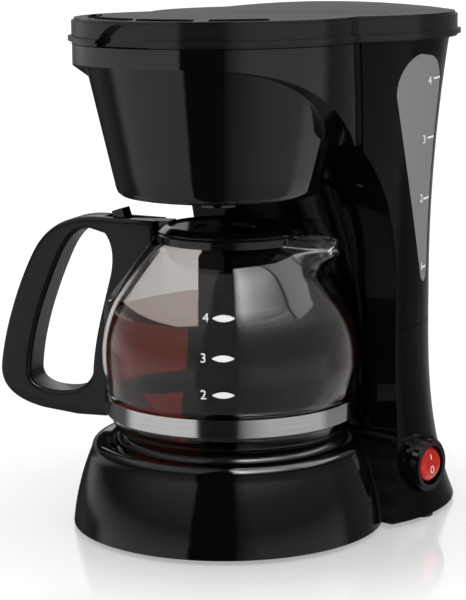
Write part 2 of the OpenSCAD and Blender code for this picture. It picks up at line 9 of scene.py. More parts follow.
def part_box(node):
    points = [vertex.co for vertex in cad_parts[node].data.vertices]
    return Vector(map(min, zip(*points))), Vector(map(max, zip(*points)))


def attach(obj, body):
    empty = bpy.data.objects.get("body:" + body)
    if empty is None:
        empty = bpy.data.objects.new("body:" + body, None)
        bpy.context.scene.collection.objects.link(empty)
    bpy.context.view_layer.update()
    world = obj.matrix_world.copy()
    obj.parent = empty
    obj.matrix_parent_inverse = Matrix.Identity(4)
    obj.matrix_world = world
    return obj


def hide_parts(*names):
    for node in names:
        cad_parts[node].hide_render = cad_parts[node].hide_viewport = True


# A drip coffee maker with a glass jug. The CAD nodes keep their shapes and get their materials here.
# Finer pieces stand in for the jug glass, the jug handle, the jug's level marks and the switch rocker.
# The coffee, the printed numbers and the edges of the steam slots are added.

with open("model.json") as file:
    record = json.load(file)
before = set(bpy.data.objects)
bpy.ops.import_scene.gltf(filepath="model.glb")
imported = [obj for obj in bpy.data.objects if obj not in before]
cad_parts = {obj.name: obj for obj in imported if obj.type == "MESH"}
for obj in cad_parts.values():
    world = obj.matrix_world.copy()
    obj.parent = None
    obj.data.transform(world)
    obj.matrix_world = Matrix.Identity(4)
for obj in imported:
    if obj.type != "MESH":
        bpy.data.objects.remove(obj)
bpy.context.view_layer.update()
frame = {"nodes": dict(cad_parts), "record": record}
nodes = frame["nodes"]

# ---------------------------------------------------------------- places
# Sizes in this script are millimetres from the jug's axis on the counter, unless a comment says metres.
MM = 1000                       # millimetres in a metre
plate_lo, plate_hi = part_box("warming_plate")
AXIS = (plate_lo + plate_hi) / 2
TOWER_Y = 55.0                  # axis of the water tower
CONE_Y = -8.0                   # axis of the filter housing and of the lid's front
BASE_Y = -3.0                   # axis of the round base skirt
HANDLE = math.radians(199.5)    # heading of the jug handle, seen from the jug's axis


def at(x, y, z):
    """Point of the scene, in metres, for a point in millimetres."""
    return Vector((AXIS.x + x / MM, AXIS.y + y / MM, z / MM))


def tower_rad(z):
    """Outer radius of the water tower at a height."""
    return 61.4 + 13.8 * max(0, (100 - z) / 100) ** 3 + 8.4 * max(0, (z - 110) / 114) ** 2


def arc(cx, cz, r, a0, a1, n):
    """Points along an arc, with angles in degrees."""
    steps = [math.radians(a0 + (a1 - a0) * i / n) for i in range(n + 1)]
    return [(cx + r * math.cos(a), cz + r * math.sin(a)) for a in steps]


def bezier(a, b, c, d, n):
    """Points along a cubic curve from a to d."""
    out = []
    for i in range(n + 1):
        t = i / n
        u = 1 - t
        k = (u * u * u, 3 * u * u * t, 3 * u * t * t, t * t * t)
        out.append(tuple(k[0] * a[j] + k[1] * b[j] + k[2] * c[j] + k[3] * d[j] for j in (0, 1)))
    return out


def smooth(t):
    """Soft step from 0 to 1."""
    t = min(1.0, max(0.0, t))
    return t * t * (3 - 2 * t)


# ---------------------------------------------------------------- materials
COAT_ROUGH = .03
BRUSH_STRETCH = (.05, .05, 1.0)     # long marks round the band
NOISE_SPREAD = .15                  # part of the noise that changes the colour
RELIEF_DEPTH = .0002                # metres


def material(name, colour, rough, metal=0.0, spec=0.5, coat=0.0, bump=0.0, scale=900.0,
             rough_var=0.0, colour_var=0.0, brushed=False):
    """Surface with fine procedural changes in roughness, colour and relief."""
    m = bpy.data.materials.new(name)
    m.use_nodes = True
    nt = m.node_tree
    b = nt.nodes["Principled BSDF"]
    b.inputs["Base Color"].default_value = (*colour, 1)
    b.inputs["Roughness"].default_value = rough
    b.inputs["Metallic"].default_value = metal
    b.inputs["Specular IOR Level"].default_value = spec
    b.inputs["Coat Weight"].default_value = coat
    b.inputs["Coat Roughness"].default_value = COAT_ROUGH
    tc = nt.nodes.new("ShaderNodeTexCoord")
    mp = nt.nodes.new("ShaderNodeMapping")
    nt.links.new(tc.outputs["Object"], mp.inputs["Vector"])
    if brushed:
        mp.inputs["Scale"].default_value = BRUSH_STRETCH
    noise = nt.nodes.new("ShaderNodeTexNoise")
    noise.inputs["Scale"].default_value = scale
    noise.inputs["Detail"].default_value = 3
    nt.links.new(mp.outputs["Vector"], noise.inputs["Vector"])
    if rough_var:
        r = nt.nodes.new("ShaderNodeMapRange")
        r.inputs["To Min"].default_value = max(0.0, rough - rough_var)
        r.inputs["To Max"].default_value = min(1.0, rough + rough_var)
        nt.links.new(noise.outputs["Fac"], r.inputs["Value"])
        nt.links.new(r.outputs["Result"], b.inputs["Roughness"])
    if colour_var:
        ramp = nt.nodes.new("ShaderNodeValToRGB")
        lo = [max(0.0, c * (1 - colour_var)) for c in colour]
        hi = [min(1.0, c * (1 + colour_var)) for c in colour]
        ramp.color_ramp.elements[0].color = (*lo, 1)
        ramp.color_ramp.elements[1].color = (*hi, 1)
        ramp.color_ramp.elements[0].position = 0.5 - NOISE_SPREAD
        ramp.color_ramp.elements[1].position = 0.5 + NOISE_SPREAD
        nt.links.new(noise.outputs["Fac"], ramp.inputs["Fac"])
        nt.links.new(ramp.outputs["Color"], b.inputs["Base Color"])
    if bump:
        bm = nt.nodes.new("ShaderNodeBump")
        bm.inputs["Strength"].default_value = bump
        bm.inputs["Distance"].default_value = RELIEF_DEPTH
        nt.links.new(noise.outputs["Fac"], bm.inputs["Height"])
        nt.links.new(bm.outputs["Normal"], b.inputs["Normal"])
    return m


LOOKS = {
    "gloss_black": dict(colour=(.0016, .0016, .0017), rough=.06, bump=.02, scale=260, rough_var=.02,
                        colour_var=.1),
    "tower_black": dict(colour=(.0016, .0016, .0017), rough=.07, spec=.16, bump=.02, scale=260,
                        rough_var=.02, colour_var=.1),
    "grip_black": dict(colour=(.0062, .0062, .0060), rough=.2, spec=.3, bump=.03, scale=500,
                       rough_var=.03, colour_var=.1),
    "slot_black": dict(colour=(.0012, .0012, .0011), rough=.5, spec=.1, bump=.05, scale=900,
                       rough_var=.03, colour_var=.1),
    "pin_black": dict(colour=(.0012, .0012, .0012), rough=.3, spec=.2, bump=.05, scale=900,
                      rough_var=.03, colour_var=.1),
    "housing_black": dict(colour=(.0016, .0016, .0017), rough=.05, spec=.8, bump=.02, scale=260,
                          rough_var=.015, colour_var=.1),
    "matte_black": dict(colour=(.012, .012, .012), rough=.5, bump=.2, scale=2200, rough_var=.06,
                        colour_var=.2),
    "satin_black": dict(colour=(.0030, .0030, .0030), rough=.12, bump=.05, scale=1200, rough_var=.03,
                        colour_var=.1),
    "lid_black": dict(colour=(.0085, .0076, .0068), rough=.14, spec=.5, bump=.05, scale=1600,
                      colour_var=.12),
    "plate_black": dict(colour=(.0040, .0040, .0040), rough=.17, bump=.05, scale=2400, rough_var=.04,
                        colour_var=.15),
    "foot_rubber": dict(colour=(.016, .016, .016), rough=.75, bump=.25, scale=2600, rough_var=.08,
                        colour_var=.25),
    "dark_rubber": dict(colour=(.012, .012, .012), rough=.6, bump=.2, scale=2600, rough_var=.08,
                        colour_var=.25),
    "zinc_steel": dict(colour=(.62, .63, .65), rough=.3, metal=1, bump=.08, scale=2400, rough_var=.08,
                       colour_var=.06),
    "band_steel": dict(colour=(.64, .64, .635), rough=.11, metal=1, bump=.04, scale=900,
                       rough_var=.04, colour_var=.04, brushed=True),
    "heater_alloy": dict(colour=(.5, .51, .52), rough=.38, metal=1, bump=.15, scale=1800,
                         rough_var=.08, colour_var=.08),
    "brass": dict(colour=(.7, .52, .22), rough=.3, metal=1, bump=.06, scale=1800, rough_var=.08,
                  colour_var=.06),
    "ceramic": dict(colour=(.72, .68, .6), rough=.45, bump=.1, scale=1800, rough_var=.08,
                    colour_var=.05),
    "silicone": dict(colour=(.62, .6, .54), rough=.5, bump=.08, scale=1400, rough_var=.08,
                     colour_var=.05),
    "white_plastic": dict(colour=(.75, .75, .73), rough=.4, bump=.06, scale=1400, rough_var=.06,
                          colour_var=.03),
    "print_white": dict(colour=(.86, .86, .85), rough=.5, bump=.05, scale=3000, rough_var=.06,
                        colour_var=.04),
    "window_grey": dict(colour=(.195, .20, .205), rough=.33, bump=.06, scale=1500, rough_var=.05,
                        colour_var=.03),
    "switch_red": dict(colour=(.50, .012, .008), rough=.16, coat=.4, bump=.03, scale=900,
                       rough_var=.04, colour_var=.06),
}
MAT = {name: material(name, **look) for name, look in LOOKS.items()}


def by_facing(mat, low, high, socket):
    """Blends one shader value from the side walls (low) to the faces that look up (high)."""
    nt = mat.node_tree
    tc, sep = nt.nodes.new("ShaderNodeTexCoord"), nt.nodes.new("ShaderNodeSeparateXYZ")
    ramp = nt.nodes.new("ShaderNodeMapRange")
    ramp.inputs["From Min"].default_value, ramp.inputs["From Max"].default_value = .5, .95
    ramp.inputs["To Min"].default_value, ramp.inputs["To Max"].default_value = low, high
    nt.links.new(tc.outputs["Normal"], sep.inputs[0])
    nt.links.new(sep.outputs["Z"], ramp.inputs["Value"])
    nt.links.new(ramp.outputs["Result"], nt.nodes["Principled BSDF"].inputs[socket])


# The top of the lid is finely grained, its rim is glossy.
by_facing(MAT["lid_black"], .12, .42, "Roughness")
by_facing(MAT["lid_black"], .5, .16, "Specular IOR Level")


def clear(name, tint, rough, ior):
    """See-through material."""
    m = material(name, tint, rough, colour_var=.01, scale=60)
    b = m.node_tree.nodes["Principled BSDF"]
    b.inputs["Transmission Weight"].default_value = 1
    b.inputs["IOR"].default_value = ior
    return m


MAT["clear_glass"] = clear("clear_glass", (.66, .64, .62), 0.0, 1.38)
MAT["coffee"] = clear("coffee", (.17, .02, .013), .14, 1.1)
MAT["coffee"].node_tree.nodes["Principled BSDF"].inputs["Specular Tint"].default_value = (0, 0, 0, 1)


def shiny_top(mat):
    """Mirror-like share on the liquid's level surface only."""
    nt = mat.node_tree
    tc, sep = nt.nodes.new("ShaderNodeTexCoord"), nt.nodes.new("ShaderNodeSeparateXYZ")
    up, mix = nt.nodes.new("ShaderNodeMapRange"), nt.nodes.new("ShaderNodeMixShader")
    glo, out = nt.nodes.new("ShaderNodeBsdfGlossy"), nt.nodes["Material Output"]
    up.inputs["From Min"].default_value, up.inputs["From Max"].default_value = .9, .99
    up.inputs["To Max"].default_value = .72
    glo.inputs["Color"].default_value = (.86, .80, .76, 1)
    glo.inputs["Roughness"].default_value = .02
    nt.links.new(tc.outputs["Normal"], sep.inputs[0])
    nt.links.new(sep.outputs["Z"], up.inputs["Value"])
    nt.links.new(up.outputs["Result"], mix.inputs["Fac"])
    nt.links.new(nt.nodes["Principled BSDF"].outputs[0], mix.inputs[1])
    nt.links.new(glo.outputs[0], mix.inputs[2])
    nt.links.new(mix.outputs[0], out.inputs["Surface"])


shiny_top(MAT["coffee"])


# ---------------------------------------------------------------- mesh helpers
WELD = 2e-6                         # metres
SHARP_ANGLE = math.radians(32)      # corners above this stay sharp


def geometry_group(name):
    """Empty geometry node group with its input and output nodes."""
    g = bpy.data.node_groups.new(name, "GeometryNodeTree")
    g.interface.new_socket("Geometry", in_out="INPUT", socket_type="NodeSocketGeometry")
    g.interface.new_socket("Geometry", in_out="OUTPUT", socket_type="NodeSocketGeometry")
    return g, g.nodes.new("NodeGroupInput"), g.nodes.new("NodeGroupOutput")


def smooth_normals():
    """Node group: welds the mesh and keeps only real corners sharp."""
    g, i, o = geometry_group("smooth_by_angle")
    n = g.nodes
    weld = n.new("GeometryNodeMergeByDistance")
    weld.inputs["Distance"].default_value = WELD
    face = n.new("GeometryNodeSetShadeSmooth")
    edge = n.new("GeometryNodeSetShadeSmooth")
    face.domain, edge.domain = "FACE", "EDGE"
    angle = n.new("GeometryNodeInputMeshEdgeAngle")
    flat = n.new("FunctionNodeCompare")
    flat.data_type, flat.operation = "FLOAT", "LESS_EQUAL"
    flat.inputs[1].default_value = SHARP_ANGLE
    g.links.new(i.outputs[0], weld.inputs["Geometry"])
    g.links.new(weld.outputs["Geometry"], face.inputs["Geometry"])
    g.links.new(face.outputs["Geometry"], edge.inputs["Geometry"])
    g.links.new(angle.outputs["Unsigned Angle"], flat.inputs[0])
    g.links.new(flat.outputs["Result"], edge.inputs["Shade Smooth"])
    g.links.new(edge.outputs["Geometry"], o.inputs[0])
    return g


SMOOTH = smooth_normals()


def in_scene(name, data):
    """New object in the scene."""
    o = bpy.data.objects.new(name, data)
    bpy.context.scene.collection.objects.link(o)
    return o


def tidy_mesh(me, weld):
    """Joins double points and turns every face outwards."""
    bm = bmesh.new()
    bm.from_mesh(me)
    bmesh.ops.remove_doubles(bm, verts=bm.verts, dist=weld)
    bmesh.ops.recalc_face_normals(bm, faces=bm.faces)
    bm.to_mesh(me)
    bm.free()


def mesh_object(name, verts, faces):
    """Object from points in millimetres."""
    me = bpy.data.meshes.new(name)
    me.from_pydata([at(*v) for v in verts], [], faces)
    tidy_mesh(me, 1e-6)
    return in_scene(name, me)


def finish_mesh(obj, mat):
    """Gives an object its material and its smooth shading."""
    obj.data.materials.clear()
    obj.data.materials.append(mat)
    mod = obj.modifiers.new("smooth", "NODES")
    mod.node_group = SMOOTH
    return obj


def new_piece(name, verts, faces, mat, body):
    """Finished piece that moves with a body."""
    o = mesh_object(name, verts, faces)
    finish_mesh(o, MAT[mat])
    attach(o, body)
    return o


def turned(profile, n, warp=None):
    """Points and faces of a closed profile of (radius, height) turned about the jug's axis."""
    k, verts, faces = len(profile), [], []
    for i in range(n):
        a = 2 * math.pi * i / n
        for r, z in profile:
            p = (r * math.cos(a), r * math.sin(a), z)
            verts.append(warp(p, r, a) if warp else p)
    for i in range(n):
        j = (i + 1) % n
        faces += [(i * k + q, j * k + q, j * k + (q + 1) % k, i * k + (q + 1) % k)
                  for q in range(k) if profile[q][0] > 0 or profile[(q + 1) % k][0] > 0]
    return verts, faces


def thickened(o, depth):
    """Gives a thin print a real depth, in millimetres."""
    o.modifiers.new("thick", "SOLIDIFY").thickness = depth / MM
    return o


# ---------------------------------------------------------------- CAD nodes that stay
slots = {s["node"]: s["material_slot"] for s in frame["record"]["subparts"]}
FINISH = {"tank_shell": "tower_black", "column_panel": "tower_black", "jug_handle": "grip_black",
          "basket_housing": "housing_black", "jug_lid_pin": "pin_black"}
for name, obj in nodes.items():
    finish_mesh(obj, MAT[FINISH.get(name, slots[name])])


# Outline of the round skirt in metres: radius = SKIRT_R - SKIRT_LEAN * z - SKIRT_BOW * z * z.
SKIRT_R, SKIRT_LEAN, SKIRT_BOW, SKIRT_TOP = .0737, .075, 4.7, .0418


def duller_tower():
    """Gives the tower half of the base moulding the tower's finish, outside the round skirt."""
    g, i, o = geometry_group("tower_part")
    n, link = g.nodes, g.links.new
    pos, sep = n.new("GeometryNodeInputPosition"), n.new("ShaderNodeSeparateXYZ")
    flat, dist = n.new("ShaderNodeCombineXYZ"), n.new("ShaderNodeVectorMath")
    dist.operation = "DISTANCE"
    dist.inputs[1].default_value = (*at(0, BASE_Y, 0).xy, 0)

    def calc(op, x, y):
        """Output of a math node fed with sockets or numbers."""
        m = n.new("ShaderNodeMath")
        m.operation = op
        for socket, value in zip(m.inputs, (x, y)):
            if isinstance(value, float):
                socket.default_value = value
            else:
                link(value, socket)
        return m.outputs[0]

    link(pos.outputs[0], sep.inputs[0])
    link(sep.outputs["X"], flat.inputs["X"])
    link(sep.outputs["Y"], flat.inputs["Y"])
    link(flat.outputs[0], dist.inputs[0])
    z = sep.outputs["Z"]
    bow = calc("MULTIPLY", calc("ADD", calc("MULTIPLY", z, SKIRT_BOW), SKIRT_LEAN), z)
    outside = calc("GREATER_THAN", calc("ADD", dist.outputs["Value"], bow), SKIRT_R)
    above = calc("GREATER_THAN", z, SKIRT_TOP)
    dull = n.new("GeometryNodeSetMaterial")
    dull.inputs["Material"].default_value = MAT["tower_black"]
    link(i.outputs[0], dull.inputs["Geometry"])
    link(calc("MAXIMUM", outside, above), dull.inputs["Selection"])
    link(dull.outputs[0], o.inputs[0])
    nodes["base_shell"].modifiers.new("tower_part", "NODES").node_group = g


duller_tower()

# ---------------------------------------------------------------- jug glass and coffee
JUG_FOOT = 44.1                     # underside of the glass
WIDE_Z = 80                         # height of the widest point
BELLY_AT, BELLY_R = 21, 40          # centre radius and arc below the widest point
DOME_AT, DOME_R = 3.2, 57.8         # the same above it
WALL = 1.8                          # thickness of the glass
GLASS_OUT = (
    [(0, JUG_FOOT), (30, JUG_FOOT), (48, JUG_FOOT)] + arc(50, 50.1, 6, -90, -20, 8)
    + [(57.4, 54), (57.5, 58), (57.6, 62), (58.3, 64), (59.6, 66)]
    + arc(BELLY_AT, WIDE_Z, BELLY_R, -12, 0, 8) + arc(DOME_AT, WIDE_Z, DOME_R, 2, 33, 20)
    + [(49.4, 115.5), (47, 119.2), (44.8, 122.7), (42.4, 126),
       (40.0, 128.8), (37.4, 131.3), (35.6, 132.5), (34.0, 133.2), (32.8, 133.9), (32.1, 134.6),
       (31.9, 136)]
)
GLASS_IN = (
    [(31.7, 137.2), (30.9, 137.3), (30.2, 137.1), (30.2, 135.6), (30.6, 133.6), (31.7, 132.4),
     (33.8, 131), (36.2, 129.4), (38.6, 127), (40.9, 124.5), (43.1, 121.6), (45.3, 118.2),
     (47.6, 114.6)]
    + arc(DOME_AT, WIDE_Z, DOME_R - WALL, 33, 2, 20)
    + arc(BELLY_AT, WIDE_Z, BELLY_R - WALL, 0, -12, 8)
    + [(57.3, 66), (56.6, 64), (55.8, 62.2), (55.7, 58), (55.6, 54)]
    + arc(49.6, 50.4, 4.6, -20, -90, 8) + [(30, JUG_FOOT + WALL), (0, JUG_FOOT + WALL)]
)
LIP = HANDLE - math.pi              # heading of the pouring lip
LIP_FROM, LIP_RISE = 121, 15        # where the neck starts to turn out, and over what height
LIP_REACH, LIP_DROP = 21.5, 1.2
LIP_SPREAD = 18.0                   # degrees to either side


def pouring_lip(p, r, a):
    """Pulls the neck out into the pouring lip, opposite the handle."""
    x, y, z = p
    if z < LIP_FROM:
        return p
    d = math.degrees((a - LIP + math.pi) % (2 * math.pi) - math.pi)
    k = smooth((z - LIP_FROM) / LIP_RISE) * math.exp(-(abs(d) / LIP_SPREAD) ** 2.2)
    out = 1 + LIP_REACH * k / r
    return (x * out, y * out, z - LIP_DROP * k)


def build_glass():
    """Glass body of the jug, open at the neck."""
    verts, faces = turned(GLASS_OUT + GLASS_IN, 192, pouring_lip)
    o = new_piece("jug_glass_body", verts, faces, "clear_glass", "jug")
    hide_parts("jug_glass")


def build_coffee():
    """Coffee up to its level, just clear of the glass, with a meniscus at the wall."""
    level, gap, meniscus = 101.8, .35, .2
    side = [(r - gap, z + gap) for r, z in reversed(GLASS_IN) if z < level and r > 0]
    surface = [(side[-1][0] - 1.0, level), (30, level - meniscus), (0, level - meniscus)]
    verts, faces = turned([(0, 46.3)] + side + surface, 160)
    new_piece("coffee_fill", verts, faces, "coffee", "jug")


build_glass()
build_coffee()

# ---------------------------------------------------------------- jug handle
# Outlines of the grip and of its finger gap: distance from the jug's axis, and height.
GRIP_OUT = (
    [(35, 142.4)] + bezier((62, 143.2), (78, 144.2), (90, 139), (97.5, 126), 14)
    + bezier((97.5, 126), (107, 109), (115, 84), (116.4, 68), 16)[1:]
    + bezier((116.4, 68), (116.8, 57), (108, 51.4), (94, 48.8), 16)[1:]
    + [(76, 46.8), (56, 47), (50, 100), (38, 125), (35, 131)]
)
GRIP_HOLE = (
    bezier((68.3, 137.6), (76.5, 137.3), (81, 130), (86.2, 118), 12)
    + bezier((86.2, 118), (92, 105), (99.6, 85), (100.8, 67), 14)[1:]
    + bezier((100.8, 67), (101.4, 59.5), (92.5, 57.5), (84, 58), 12)[1:]
    + bezier((84, 58), (76, 58.5), (69.5, 62), (67.9, 67.7), 10)[1:]
    + bezier((67.9, 67.7), (67, 84), (62, 100), (57.9, 115.5), 12)[1:]
    + bezier((57.9, 115.5), (56, 124), (56.8, 131), (60.5, 135.5), 10)[1:]
)
GRIP_W, GRIP_ROUND = 18.0, 2.2      # thickness, and radius of its edges


def baked(o):
    """Mesh of an object with its modifiers worked in."""
    bpy.context.view_layer.update()
    return bpy.data.meshes.new_from_object(o.evaluated_get(bpy.context.evaluated_depsgraph_get()))


def grip_outline():
    """Flat curve of the grip and its finger gap, with thickness and rounded edges."""
    cu = bpy.data.curves.new("grip", "CURVE")
    cu.dimensions, cu.fill_mode = "2D", "BOTH"
    cu.extrude = (GRIP_W / 2 - GRIP_ROUND) / MM
    cu.bevel_depth, cu.bevel_resolution = GRIP_ROUND / MM, 4
    cu.offset = -GRIP_ROUND / MM
    for outline in (GRIP_OUT, GRIP_HOLE):
        sp = cu.splines.new("POLY")
        sp.points.add(len(outline) - 1)
        for p, (u, z) in zip(sp.points, outline):
            p.co = (u / MM, z / MM, 0, 1)
        sp.use_cyclic_u = True
    return cu


def handle_cutters():
    """Round seat for the glass and the collar, and room for the lever of the jug lid."""
    seat = [(0, 40), (61.6, 40), (61.6, 102), (36, 134.8), (35.2, 135), (35.2, 155), (0, 155)]
    half, c, sn = 5.2, math.cos(HANDLE), math.sin(HANDLE)
    room = [(u * c - v * sn, u * sn + v * c, z)
            for u in (30, 62) for v in (-half, half) for z in (130, 150)]
    sides = [(0, 1, 3, 2), (4, 6, 7, 5), (0, 4, 5, 1), (2, 3, 7, 6), (0, 2, 6, 4), (1, 5, 7, 3)]
    return [mesh_object("seat", *turned(seat, 128)), mesh_object("lever_room", room, sides)]


def build_handle():
    """Grip with rounded edges, cut to sit on the glass, the collar and the lever."""
    o = in_scene("grip", grip_outline())
    plane = Matrix.Rotation(HANDLE, 4, "Z") @ Matrix.Rotation(math.pi / 2, 4, "X")
    me = baked(o)
    me.transform(Matrix.Translation(at(0, 0, 0)) @ plane)
    tidy_mesh(me, WELD)
    grip = in_scene("jug_grip", me)
    cutters = handle_cutters()
    for cut in cutters:
        mod = grip.modifiers.new("cut", "BOOLEAN")
        mod.operation, mod.solver, mod.object = "DIFFERENCE", "EXACT", cut
    final = baked(grip)
    grip.modifiers.clear()
    grip.data = final
    for extra in cutters + [o]:
        bpy.data.objects.remove(extra)
    finish_mesh(grip, MAT["grip_black"])
    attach(grip, "jug")
    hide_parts("jug_handle")


build_handle()

# ---------------------------------------------------------------- lid
SLOT_HEADINGS = (-49, -16, 16, 49)  # degrees from the front
SLOT_R, SLOT_HALF_WIDTH, SLOT_HALF_TURN = 56.5, 1.5, math.radians(12)
SLOT_EDGE = .9                      # width of the raised edge
SLOT_LOW, SLOT_HIGH = 237.6, 238.5  # heights of the edge's foot and top


def slot_outline(heading, grow):
    """Curved slot outline in plan, made larger by grow on all sides."""
    centre, steps, loop = math.radians(heading - 90), 24, []
    half_turn, half_width = SLOT_HALF_TURN + grow / SLOT_R, SLOT_HALF_WIDTH + grow
    turns = [centre + half_turn * (2 * i / steps - 1) for i in range(steps + 1)]
    for r, way in ((SLOT_R + half_width, turns), (SLOT_R - half_width, turns[::-1])):
        loop += [(r * math.cos(a), CONE_Y + r * math.sin(a)) for a in way]
    return loop


def slot_lip(name, heading):
    """Low raised edge round one steam slot."""
    loops = slot_outline(heading, 0), slot_outline(heading, SLOT_EDGE)
    n = len(loops[0])
    verts = [(x, y, z) for z in (SLOT_LOW, SLOT_HIGH) for loop in loops for x, y in loop]
    faces = []
    for i in range(n):
        j = (i + 1) % n
        faces += [(i, j, n + j, n + i), (2 * n + i, 3 * n + i, 3 * n + j, 2 * n + j),
                  (i, 2 * n + i, 2 * n + j, j), (n + i, n + j, 3 * n + j, 3 * n + i)]
    new_piece(name, verts, faces, "slot_black", "tank_lid")


for number, heading in enumerate(SLOT_HEADINGS, 1):
    slot_lip("steam_slot_lip_%d" % number, heading)

# ---------------------------------------------------------------- switch rocker and its prints
SWITCH = (65.6, 59.5, 25.2)         # middle of the rocker's pin
ROCKER_R, ROCKER_TILT = 8.5, math.radians(-8)
THUMB_FACE = 8.3                    # how far the thumb face stands in front of the pin
THUMB_BOW, RIM_ROUND = 1.3, 1.2
ROCKER_WALL = .6                    # least thickness of the rocker at its rim
RIM_FOOT, BACK_TIP = 1.2, -1.5      # places of the rim's foot and of the back's tip


def rocker_front(y, z):
    """Distance of the thumb face in front of the pin."""
    return THUMB_FACE - THUMB_BOW * (z / ROCKER_R) ** 2 - RIM_ROUND * (math.hypot(y, z) / ROCKER_R) ** 8


def rocker_place(x, y, z):
    """Point of the tilted rocker, from its own place in front of the pin."""
    c, sn = math.cos(ROCKER_TILT), math.sin(ROCKER_TILT)
    return (SWITCH[0] + x * c + z * sn, SWITCH[1] + y, SWITCH[2] - x * sn + z * c)


def build_rocker():
    """Domed round button with a short rim and a closed back."""
    rings, n = 22, 72
    turns = [2 * math.pi * j / n for j in range(n)]
    verts = [rocker_place(rocker_front(0, 0), 0, 0)]
    for i in range(1, rings + 1):
        r = ROCKER_R * i / rings
        outline = [(r * math.cos(a), r * math.sin(a)) for a in turns]
        verts += [rocker_place(rocker_front(y, z), y, z) for y, z in outline]
    rim_foot = [min(rocker_front(y, z) - ROCKER_WALL, RIM_FOOT) for y, z in outline]
    verts += [rocker_place(x, y, z) for x, (y, z) in zip(rim_foot, outline)]
    verts.append(rocker_place(BACK_TIP, 0, 0))
    after = [(j + 1) % n for j in range(n)]
    faces = [(0, 1 + j, 1 + after[j]) for j in range(n)]
    for i in range(rings):
        near, far = 1 + i * n, 1 + (i + 1) * n
        faces += [(near + j, far + j, far + after[j], near + after[j]) for j in range(n)]
    foot, tip = 1 + rings * n, len(verts) - 1
    faces += [(tip, foot + after[j], foot + j) for j in range(n)]
    o = new_piece("rocker_button", verts, faces, "switch_red", "rocker")
    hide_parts("switch_rocker")


def rocker_print(name, rings, n=40):
    """Thin ring printed on the thumb face, between an outer and an inner outline of (y, z)."""
    verts = [rocker_place(rocker_front(y, z) + .05, y, z) for outline in rings for y, z in outline]
    faces = [(j, (j + 1) % n, n + (j + 1) % n, n + j) for j in range(n)]
    thickened(new_piece(name, verts, faces, "print_white", "rocker"), .1)


def ellipse(cz, ry, rz, n=40):
    """Upright ellipse on the rocker's middle line."""
    return [(ry * math.cos(2 * math.pi * j / n), cz + rz * math.sin(2 * math.pi * j / n))
            for j in range(n)]


build_rocker()
rocker_print("rocker_mark_o", [ellipse(-3.2, 1.4, 1.75), ellipse(-3.2, 1.02, 1.37)])
rocker_print("rocker_mark_i", [ellipse(2.9, .27, 1.5), ellipse(2.9, .02, 1.05)])

# ---------------------------------------------------------------- prints on the jug and the window
JUG_LEVELS = (("4", 107), ("3", 90), ("2", 73.5))       # number and height
JUG_MARK = math.radians(-54)        # heading of the level marks
JUG_PRINT = math.radians(-62.4)     # heading of the numbers
JUG_TEXT, WINDOW_TEXT, WINDOW_WIDEN = 6.0, 5.4, 1.5     # text sizes
WINDOW_LEVELS = (("4", 65.3, 206.5), ("3", 65.4, 179), ("2", 66.7, 151), ("1", 69.9, 118))  # number, y, z


def digit(name, text, size, spot, normal_angle, body, wide=1.0):
    """Number printed on an upright wall: spot is its middle, normal_angle its outward heading."""
    cu = bpy.data.curves.new(name, "FONT")
    cu.body, cu.size, cu.align_x, cu.align_y = text, size / MM, "CENTER", "CENTER"
    cu.extrude = .04 / MM
    tmp = in_scene(name + "_text", cu)
    me = baked(tmp)
    bpy.data.objects.remove(tmp)
    facing = Matrix.Rotation(normal_angle + math.pi / 2, 4, "Z") @ Matrix.Rotation(math.pi / 2, 4, "X")
    me.transform(Matrix.Translation(at(*spot)) @ facing @ Matrix.Diagonal((wide, 1, 1, 1)))
    me.name = name
    o = in_scene(name, me)
    finish_mesh(o, MAT["print_white"])
    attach(o, body)


def jug_wall(z):
    """Outer radius of the glass at a height."""
    centre, r = (DOME_AT, DOME_R) if z > WIDE_Z else (BELLY_AT, BELLY_R)
    return centre + math.sqrt(r ** 2 - (z - WIDE_Z) ** 2)


def jug_level_marks():
    """Lens-shaped level marks printed on the glass, each between two arcs."""
    arc_r, drop, rows, cols = 9.4, 7.9, 4, 28
    half, verts, faces = math.sqrt(arc_r ** 2 - drop ** 2) - .02, [], []
    for _, mark in reversed(JUG_LEVELS):
        base = len(verts)
        for i in range(cols + 1):
            y = half * (2 * i / cols - 1)
            tall = math.sqrt(arc_r ** 2 - y * y) - drop
            for j in range(rows + 1):
                z = mark + tall * (2 * j / rows - 1)
                r = jug_wall(z) + .2
                a = JUG_MARK + y / r
                verts.append((r * math.cos(a), r * math.sin(a), z))
        for i in range(cols):
            for j in range(rows):
                k = base + i * (rows + 1) + j
                faces.append((k, k + rows + 1, k + rows + 2, k + 1))
    o = thickened(new_piece("jug_level_marks", verts, faces, "print_white", "jug"), .15)
    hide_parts("jug_marks")


jug_level_marks()
for text, z in JUG_LEVELS:
    wall = jug_wall(z) + .45
    spot = (wall * math.cos(JUG_PRINT), wall * math.sin(JUG_PRINT), z)
    digit("jug_number_" + text, text, JUG_TEXT, spot, JUG_PRINT, "jug")
for text, y, z in WINDOW_LEVELS:
    side = y - TOWER_Y
    x = math.sqrt((tower_rad(z) + .05) ** 2 - side ** 2)
    heading = math.atan2(side, x)
    digit("window_number_" + text, text, WINDOW_TEXT, (x, y, z), heading, "machine", WINDOW_WIDEN)

# ---------------------------------------------------------------- world and floor
CAM_A = math.radians(39.5)          # heading of the camera, round from the front
world = bpy.data.worlds.new("studio")
bpy.context.scene.world = world
world.use_nodes = True
world.node_tree.nodes["Background"].inputs["Color"].default_value = (1, 1, 1, 1)
world.node_tree.nodes["Background"].inputs["Strength"].default_value = 1.0
world.cycles_visibility.glossy = False
bpy.context.scene.view_settings.view_transform = "Standard"

